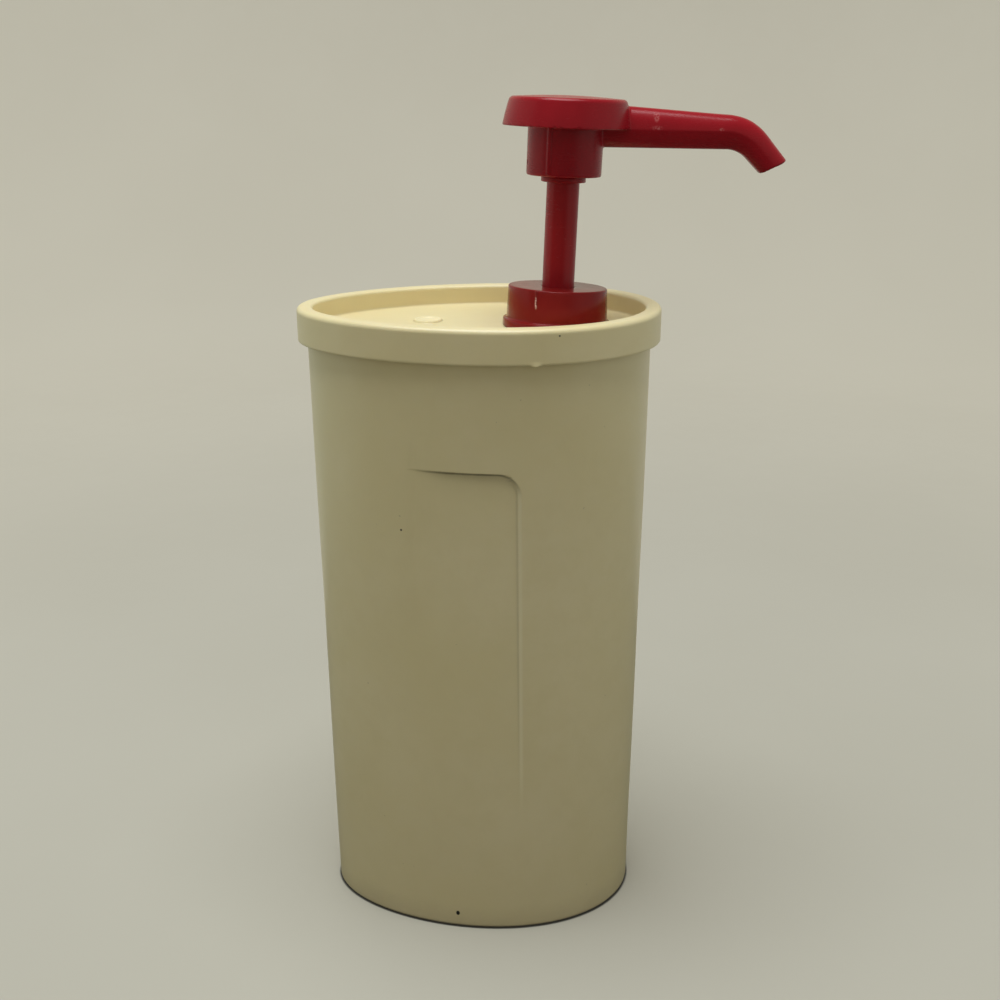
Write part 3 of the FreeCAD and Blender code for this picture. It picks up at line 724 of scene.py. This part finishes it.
def head_shape(u, v, h):
    """Signed distance to the head's skin, negative inside, in mm."""
    rad = np.hypot(u, v)
    # button: its top sits a little towards the spout, so its side is steeper there
    dr, dh = BUTTON_R_LOW - BUTTON_R_TOP, BUTTON_EDGE - BUTTON_LOW
    us = u - BUTTON_SHIFT * np.clip((h - BUTTON_LOW) / dh, 0, 1.1)
    rad_b = np.hypot(us, v)
    swell = 0.22 * (1 - (2 * np.clip((h - BUTTON_LOW) / dh, 0, 1) - 1) ** 2)
    side = ((rad_b - BUTTON_R_LOW - swell) * dh + (h - BUTTON_LOW) * dr) / math.hypot(dr, dh)
    edge_in = BUTTON_R_TOP - BUTTON_ROUND
    big = (edge_in ** 2 + BUTTON_CROWN ** 2) / (2 * BUTTON_CROWN)
    top = np.hypot(rad_b, h - (BUTTON_EDGE + BUTTON_CROWN - big)) - big
    button = both(both(side, top, BUTTON_ROUND), BUTTON_LOW - h, 0.35)
    # hub with its upright rib
    hub = ((rad - HUB_R_LOW) * (BUTTON_LOW - HUB_LOW) - (h - HUB_LOW) * (HUB_R_TOP - HUB_R_LOW)) / (BUTTON_LOW - HUB_LOW)
    hub = both(hub, HUB_LOW - h, 0.8)
    hub = np.maximum(hub, h - 95.0)
    ur = u * math.cos(RIB_AT) + v * math.sin(RIB_AT)
    vr = -u * math.sin(RIB_AT) + v * math.cos(RIB_AT)
    out = HUB_R_LOW + 0.1 + RIB_OUT * (0.45 + 0.55 * np.clip((h - 69) / 9, 0, 1))
    rib = both(both(np.abs(vr) - RIB_W / 2, ur - out, 0.35), HUB_LOW + 0.8 - h, 0.45)
    rib = np.maximum(np.maximum(rib, 10 - ur), h - 92.0)
    # arm and nozzle, which droop a little from the hub
    au = u * math.cos(ARM_DROOP) - (h - ARM_H) * math.sin(ARM_DROOP)
    ah = ARM_H + u * math.sin(ARM_DROOP) + (h - ARM_H) * math.cos(ARM_DROOP)
    s, q = arm_path(au, ah)
    f = np.clip(s / ARM_BEND, 0, 1)
    total = BEND_G * BEND_R + TIP_RUN
    g = np.clip((s - ARM_BEND) / total, 0, 1.2)
    half_h = 9.73 - 2.36 * f - (7.37 - TIP_HALF) * g
    half_w = 7.40 - 0.60 * f - (6.80 - TIP_HALF) * g
    drop = (1.9 - 2.25 * f) * (1 - np.clip(g, 0, 1))
    y = q + drop
    roof = half_h + drop + 0.35 * np.exp(-((s - ARM_BEND - 8.0) / 6.0) ** 2)
    low = half_h - drop + 0.30 * (1 - np.clip(g * 2, 0, 1))
    ay = np.abs(y)
    up = y >= 0
    lim = np.where(up, roof, low)
    fade = np.clip(1 - g, 0, 1)
    w = half_w * (1 - np.where(up, 0.17, 0.21) * (0.25 + 0.75 * fade) * np.clip(ay / lim, 0, 1))
    p = np.where(up, 2.45, 3.0)
    kk = (np.abs(v / w) ** p + (ay / lim) ** p) ** (1 / p)
    kk = np.maximum(kk, 1e-3)
    arm = np.hypot(v, y) * (1 - 1 / kk)
    arm = np.maximum(arm, ARM_START - u)
    tip_u, tip_h = TIP_U + TIP_RUN * math.cos(BEND_G), TIP_H - TIP_RUN * math.sin(BEND_G)
    ang = BEND_G + TIP_CUT
    mouth = (au - tip_u) * math.cos(ang) - (ah - tip_h) * math.sin(ang)
    # the mouth is a little ragged where it was cut, fuller at its outer side
    mouth = mouth - 0.28 * np.exp(-((q - 3.6) / 2.2) ** 2) + 0.06 * np.sin(1.7 * v + 0.9 * q) + 0.05 * np.sin(3.1 * q - 1.3 * v)
    arm = both(arm, mouth, 0.3)
    d = join(button, hub, 0.7)
    d = join(d, rib, 0.35)
    d = join(d, arm, 0.8)
    bore = np.hypot(v, q) - BORE_R
    bore = np.maximum(bore, (ARM_BEND - 12.0) - s)
    d = both(d, -bore, 0.4)
    spigot = np.maximum(rad - (SPIGOT_R + SPIGOT_CLEAR), h - (SPIGOT_TOP + 1.0))
    d = np.maximum(d, -spigot)
    # a chip in the hub's left side
    chip = np.hypot(np.hypot(u + 16.95, v + 2.6), (h - 73.2) * 0.8) - 0.75
    return both(d, -chip, 0.15)


def net(shape, lo, hi, step):
    """Closed quad mesh of a signed-distance shape, its points laid on the skin."""
    n = [int(math.ceil((b - a) / step)) + 1 for a, b in zip(lo, hi)]
    ax = [a + step * np.arange(k) for a, k in zip(lo, n)]
    grid = np.meshgrid(*ax, indexing="ij")
    d = shape(*grid)
    cells = tuple(k - 1 for k in n)
    total = np.zeros(cells + (3,))
    count = np.zeros(cells)
    quads = []
    for axis in range(3):
        a = [slice(None)] * 3
        b = [slice(None)] * 3
        a[axis], b[axis] = slice(0, -1), slice(1, None)
        d0, d1 = d[tuple(a)], d[tuple(b)]
        at = np.argwhere((d0 < 0) != (d1 < 0))
        o1, o2 = (axis + 1) % 3, (axis + 2) % 3
        ok = (at[:, o1] > 0) & (at[:, o2] > 0) & (at[:, o1] < n[o1] - 1) & (at[:, o2] < n[o2] - 1)
        at = at[ok]
        e0, e1 = d0[tuple(at.T)], d1[tuple(at.T)]
        p = np.array(lo) + at * step
        p[:, axis] += step * e0 / (e0 - e1)
        four = []
        for s1, s2 in ((-1, -1), (0, -1), (0, 0), (-1, 0)):
            cell = at.copy()
            cell[:, o1] += s1
            cell[:, o2] += s2
            np.add.at(total, tuple(cell.T), p)
            np.add.at(count, tuple(cell.T), 1)
            four.append(np.ravel_multi_index(tuple(cell.T), cells))
        four = np.stack(four, 1)
        four[e0 >= 0] = four[e0 >= 0][:, ::-1]
        quads.append(four)
    quads = np.concatenate(quads)
    used = np.unique(quads)
    index = np.full(int(np.prod(cells)), -1)
    index[used] = np.arange(len(used))
    verts = (total.reshape(-1, 3)[used]) / count.reshape(-1)[used][:, None]
    quads = index[quads]

    def slope(p):
        e = 0.02
        g = np.stack([shape(*(p + np.eye(3)[i] * e).T) - shape(*(p - np.eye(3)[i] * e).T) for i in range(3)], 1) / (2 * e)
        return g

    def onto(p, times):
        for _ in range(times):
            g = slope(p)
            k = shape(*p.T) / np.maximum((g ** 2).sum(1), 0.2)
            p = p - g * np.clip(k, -0.3, 0.3)[:, None]
        return p
    verts = onto(verts, 3)
    # even the spacing along the skin
    nb = np.concatenate([quads[:, [i, (i + 1) % 4]] for i in range(4)])
    for _ in range(3):
        acc = np.zeros_like(verts)
        num = np.zeros(len(verts))
        np.add.at(acc, nb[:, 0], verts[nb[:, 1]])
        np.add.at(num, nb[:, 0], 1)
        avg = acc / np.maximum(num, 1)[:, None]
        g = slope(verts)
        g /= np.maximum(np.linalg.norm(g, axis=1), 1e-6)[:, None]
        move = avg - verts
        move -= g * (move * g).sum(1)[:, None]
        verts = onto(verts + 0.5 * move, 1)
    verts = onto(verts, 1)
    return verts, quads.tolist()


def make_head():
    v, f = net(head_shape, (-30.2, -30.2, 65.7), (101.4, 30.2, 105.1), 0.6)
    return on_pump(v), f


# ------------------------------------------------------------------------ pieces
c = make_container()
piece("vessel", c.verts(), c.f, "base", "container", vessel_mat,
      marks=(("grime", c.grime), ("worn_edge", c.worn)))
c = make_lid()
piece("vessel_lid", c.verts(), c.f, "base", "lid", lid_mat)
c = make_collar()
piece("collar", c.verts(), c.f, "base", "pump_collar", collar_mat)
c = make_rod()
piece("rod", c.verts(), c.f, "plunger", "pump_rod", rod_mat)
hv, hf = make_head()
piece("press_head", hv, hf, "head", "pump_head", head_mat, sharp=50)


# ------------------------------------------------------------------------- stage
def make_stage():
    n = 144
    t = 2 * math.pi * np.arange(n) / n
    c = Build()
    mid = c.add([[0, 0, 0]])
    prof = [(60, 0), (150, 0), (400, 0), (800, 0), (1100, 0)]
    prof += [(1100 + 700 * math.sin(a), 700 * (1 - math.cos(a))) for a in np.linspace(0, math.pi / 2, 20)[1:]]
    prof += [(1800, 1500)]
    rings = [c.add(np.column_stack([r * np.cos(t), r * np.sin(t), np.full(n, z)])) for r, z in prof]
    c.fan(rings[0], mid[0], True)
    for a, b in zip(rings, rings[1:]):
        c.f += [q[::-1] for q in np.stack([a, np.roll(a, -1), np.roll(b, -1), b], 1).tolist()]
    k = Nodes("pale_stage")
    tone = k.ramp(k.noise(3.0, 3.0, 0.5), 0.3, 0.7)
    pale = k.mix(tone, (0.525, 0.50, 0.425, 1), (0.545, 0.52, 0.445, 1))
    # painted contact shadow: a dark line on the floor round the foot
    cx = k.math("MULTIPLY", k.math("ADD", k.axis("X"), -FOOT_SHIFT * MM), 1 / (FOOT_A * MM))
    cy = k.math("DIVIDE", k.math("MULTIPLY", k.axis("Y"), 1 / (FOOT_B * MM)), k.math("ADD", k.math("MULTIPLY", cx, EGG), 1.0))
    ring = k.math("POWER", k.math("ADD", k.math("MULTIPLY", cx, cx), k.math("MULTIPLY", cy, cy)), 0.5)
    k.link(k.mix(k.ramp(ring, 0.999, 1.014, 0.95, 0.0), pale, (0.02, 0.018, 0.014, 1)), k.bsdf.inputs["Base Color"])
    k.link(k.ramp(k.noise(40.0, 4.0, 0.6), 0.3, 0.7, 0.62, 0.72), k.bsdf.inputs["Roughness"])
    k.bsdf.inputs["Specular IOR Level"].default_value = 0.3
    k.bsdf.inputs["Emission Color"].default_value = (1.0, 0.935, 0.76, 1)
    # its light falls off outwards, so a little glow evens it
    x, y = k.axis("X"), k.axis("Y")
    out = k.math("POWER", k.math("ADD", k.math("MULTIPLY", x, x), k.math("MULTIPLY", y, y)), 0.5)
    k.link(k.ramp(out, 0.15, 1.35, 0.015, 0.20), k.bsdf.inputs["Emission Strength"])
    ob = piece("stage_floor", c.verts(), c.f, None, None, k.mat)
    # the stage shows and takes shadows, but the light on the object is the studio's own
    ob.visible_diffuse = ob.visible_glossy = ob.visible_shadow = False
    return ob


def make_card():
    """A dark card level with the floor, for the light only: it keeps the floor's glow off the object."""
    xs, ys = np.linspace(-620, 760, 24), np.linspace(-1000, 290, 22)
    c = Build()
    rows = [c.add(np.column_stack([xs, np.full(24, y), np.full(24, -0.6)])) for y in ys]
    for a, b in zip(rows, rows[1:]):
        c.f += np.stack([a[:-1], a[1:], b[1:], b[:-1]], 1).tolist()
    k = Nodes("dark_card")
    tone = k.ramp(k.noise(5.0, 3.0, 0.5), 0.3, 0.7)
    k.link(k.mix(tone, (0.145, 0.138, 0.113, 1), (0.155, 0.148, 0.122, 1)), k.bsdf.inputs["Base Color"])
    k.bsdf.inputs["Roughness"].default_value = 0.6
    ob = piece("stage_card", c.verts(), c.f, None, None, k.mat)
    ob.visible_camera = ob.visible_shadow = False


make_stage()
make_card()

scene = bpy.context.scene
world = bpy.data.worlds.new("studio")
scene.world = world
world.use_nodes = True
wt = world.node_tree


def wnode(kind, **inputs):
    n = wt.nodes.new(kind)
    for key, v in inputs.items():
        s = n.inputs[int(key[1:])]
        if isinstance(v, bpy.types.NodeSocket):
            wt.links.new(v, s)
        else:
            s.default_value = v
    return n


def wramp(value, a, b):
    n = wnode("ShaderNodeMapRange", i0=value, i1=a, i2=b)
    n.interpolation_type = "SMOOTHSTEP"
    return n.outputs["Result"]


def wmix(fac, a, b):
    n = wt.nodes.new("ShaderNodeMix")
    n.data_type = "RGBA"
    for i, v in ((0, fac), (6, a), (7, b)):
        if isinstance(v, bpy.types.NodeSocket):
            wt.links.new(v, n.inputs[i])
        else:
            n.inputs[i].default_value = v
    return n.outputs[2]


def wmul(a, b):
    n = wnode("ShaderNodeMath", i0=a, i1=b)
    n.operation = "MULTIPLY"
    return n.outputs[0]


# a soft room: dim in front and below, pale walls behind and at the sides, the left one cooler
way = wt.nodes.new("ShaderNodeTexCoord").outputs["Generated"]
xyz = wnode("ShaderNodeSeparateXYZ", i0=way).outputs
sky = wmix(wramp(xyz["Z"], 0.2, 0.9), (0.365, 0.352, 0.305, 1), (0.25, 0.245, 0.222, 1))
room = wmix(wramp(xyz["Z"], -0.06, 0.04), (0.10, 0.092, 0.075, 1), sky)
band = wmul(wramp(xyz["Z"], 0.75, 0.35), wramp(xyz["Z"], -0.75, -0.50))
room = wmix(wmul(wramp(xyz["Y"], -0.05, 0.45), band), room, (0.50, 0.46, 0.37, 1))
left = wmul(wramp(xyz["X"], -0.30, -0.80), wramp(xyz["Y"], -0.40, -0.24))
room = wmix(wmul(left, band), room, (0.58, 0.64, 0.57, 1))
room = wmix(wmul(wramp(xyz["X"], 0.30, 0.80), band), room, (0.50, 0.52, 0.465, 1))
wt.links.new(room, wt.nodes["Background"].inputs["Color"])
wt.nodes["Background"].inputs["Strength"].default_value = 1.0


def softbox(name, at, aim, size, power, colour=(1, 1, 1)):
    li = bpy.data.lights.new(name, "AREA")
    li.shape = "RECTANGLE"
    li.size, li.size_y = size
    li.energy = power
    li.color = colour
    ob = bpy.data.objects.new(name, li)
    scene.collection.objects.link(ob)
    ob.location = at
    ob.rotation_euler = (Vector(aim) - Vector(at)).to_track_quat("-Z", "Y").to_euler()
    return ob


softbox("overhead", (-0.12, -0.12, 1.75), (0, 0, 0.2), (1.1, 0.9), 20.5, (0.95, 1.0, 1.03))

cam_data = bpy.data.cameras.new("camera")
cam_data.sensor_width = 36.0
cam_data.lens = 1255.0 / 1000.0 * 36.0
cam_data.clip_start, cam_data.clip_end = 0.01, 30.0
cam = bpy.data.objects.new("camera", cam_data)
scene.collection.objects.link(cam)
cam.location = (-0.00096, -0.5819, 0.4258)
cam.rotation_euler = (math.radians(90 - 19.93), 0.0, math.radians(-1.05))
scene.camera = cam
scene.view_settings.view_transform = "Standard"
